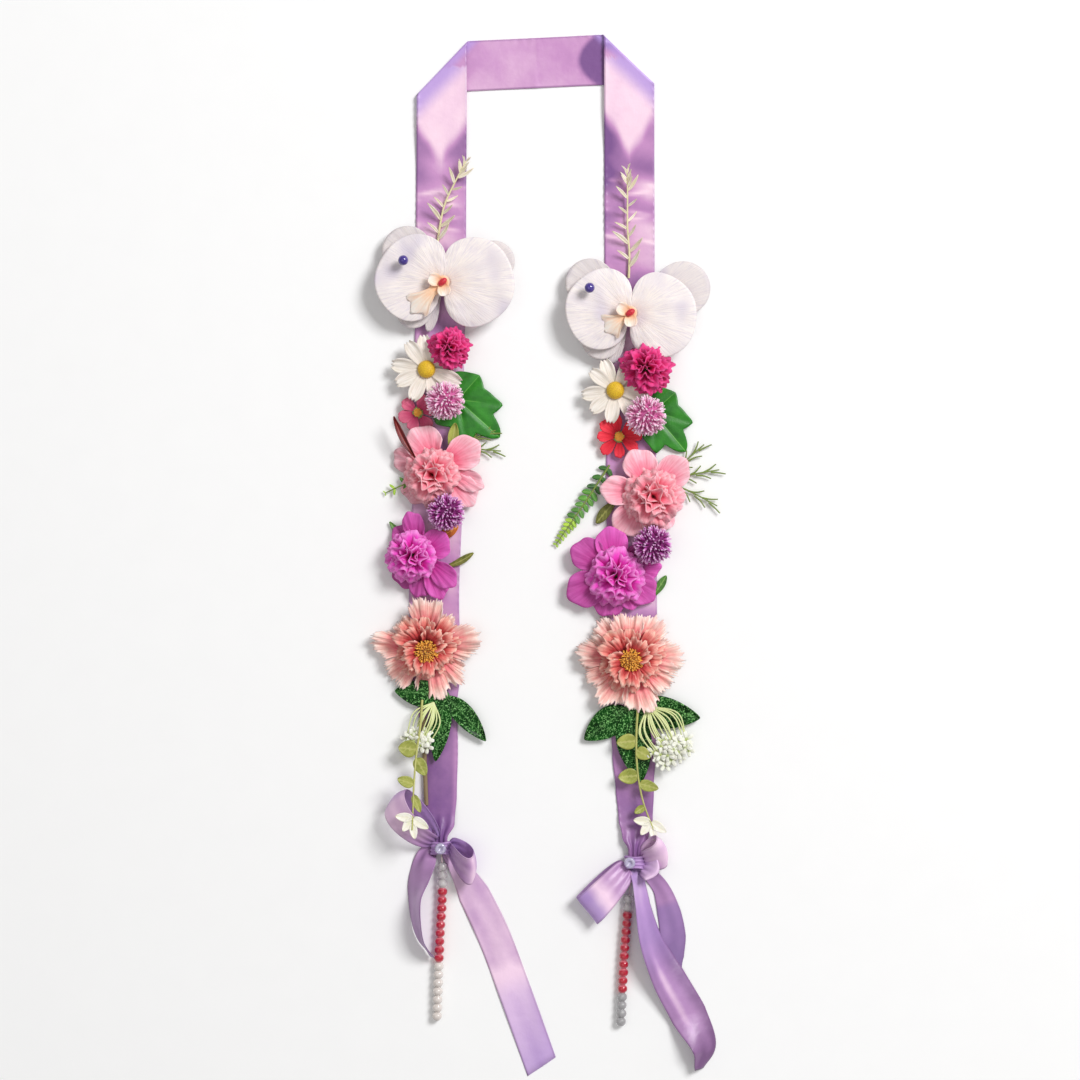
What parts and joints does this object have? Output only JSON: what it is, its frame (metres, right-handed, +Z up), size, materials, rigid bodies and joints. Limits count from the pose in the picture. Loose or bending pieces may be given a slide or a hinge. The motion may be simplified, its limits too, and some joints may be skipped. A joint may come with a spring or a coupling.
{
  "type": "ribbon flower lei",
  "caption": "Open flower lei lying flat: a folded satin ribbon carries artificial orchids, carnations and leaves along its strands, with a bow and a bead string at each end.",
  "frame": {"origin": "middle of the lei's outline seen from above, on the surface that it lies on", "axes": "+X across the strands, to the right when the neck is at the top; +Y along the strands, from the bows to the neck; +Z up from the surface, out of the faces of the blooms"},
  "size_m": [0.2622, 0.7892, 0.033],
  "materials": {
    "satin_ribbon": "lavender satin with a soft sheen",
    "white_silk": "off-white artificial petal cloth, matt",
    "peach_lip": "pale peach moulded petal cloth, matt",
    "red_coat": "red coating, glossy",
    "purple_pearl": "purple pearl lacquer, glossy",
    "yellow_eye": "yellow flocked eye, matt",
    "magenta_silk": "magenta petal cloth, matt",
    "lilac_silk": "pink-lilac petal cloth, matt",
    "purple_silk": "deep purple petal cloth, matt",
    "rose_silk": "rose-pink petal cloth, matt",
    "red_silk": "red petal cloth, matt",
    "pink_silk": "salmon-pink petal cloth, matt",
    "violet_silk": "violet petal cloth, matt",
    "peach_silk": "peach petal cloth, deeper towards the heart",
    "amber_eye": "amber stamens, matt",
    "leaf_green": "mid-green moulded leaf, matt",
    "dark_green": "dark green moulded leaf with a pale net",
    "fresh_green": "yellow-green moulded stem and leaf, matt",
    "pale_stem": "pale straw-coloured stem, matt",
    "clear_bead": "clear silvery bead, glossy",
    "red_bead": "red bead with pale bands, glossy",
    "pearl_bead": "cream pearl lacquer, glossy"
  },
  "bodies": {
    "root": {"bow_left": "satin_ribbon", "bow_right": "satin_ribbon", "clear_beads_left": "clear_bead", "clear_beads_right": "clear_bead", "cosmos_left_eye": "amber_eye", "cosmos_left_petals": "rose_silk", "cosmos_right_eye": "amber_eye", "cosmos_right_petals": "red_silk", "daisy_left_eye": "yellow_eye", "daisy_left_petals": "white_silk", "daisy_right_eye": "yellow_eye", "daisy_right_petals": "white_silk", "fern_left": "fresh_green", "fern_right": "fresh_green", "fine_spray_left": "fresh_green", "fine_spray_right": "fresh_green", "ivy_leaf_left": "leaf_green", "ivy_leaf_right": "leaf_green", "knot_bead_left": "clear_bead", "knot_bead_right": "clear_bead", "mottled_leaves_left": "dark_green", "mottled_leaves_right": "dark_green", "orchid_left_column": "red_coat", "orchid_left_lip": "peach_lip", "orchid_left_pearl_pin": "purple_pearl", "orchid_left_petals": "white_silk", "orchid_right_column": "red_coat", "orchid_right_lip": "peach_lip", "orchid_right_pearl_pin": "purple_pearl", "orchid_right_petals": "white_silk", "pale_pompom_left": "lilac_silk", "pale_pompom_right": "lilac_silk", "peach_bloom_left": "peach_silk", "peach_bloom_left_stamens": "amber_eye", "peach_bloom_right": "peach_silk", "peach_bloom_right_stamens": "amber_eye", "pearl_beads_left": "pearl_bead", "pearl_beads_right": "pearl_bead", "pink_carnation_left": "pink_silk", "pink_carnation_right": "pink_silk", "purple_pompom_left": "purple_silk", "purple_pompom_right": "purple_silk", "red_beads_left": "red_bead", "red_beads_right": "red_bead", "ribbon_band": "satin_ribbon", "small_carnation_left": "magenta_silk", "small_carnation_right": "magenta_silk", "small_leaves_left": "leaf_green", "small_leaves_right": "leaf_green", "sprig_left": "pale_stem", "sprig_right": "pale_stem", "umbel_left_florets": "white_silk", "umbel_left_rays": "fresh_green", "umbel_right_florets": "white_silk", "umbel_right_rays": "fresh_green", "vine_left": "fresh_green", "vine_right": "fresh_green", "violet_carnation_left": "violet_silk", "violet_carnation_right": "violet_silk"}
  },
  "joints": []
}
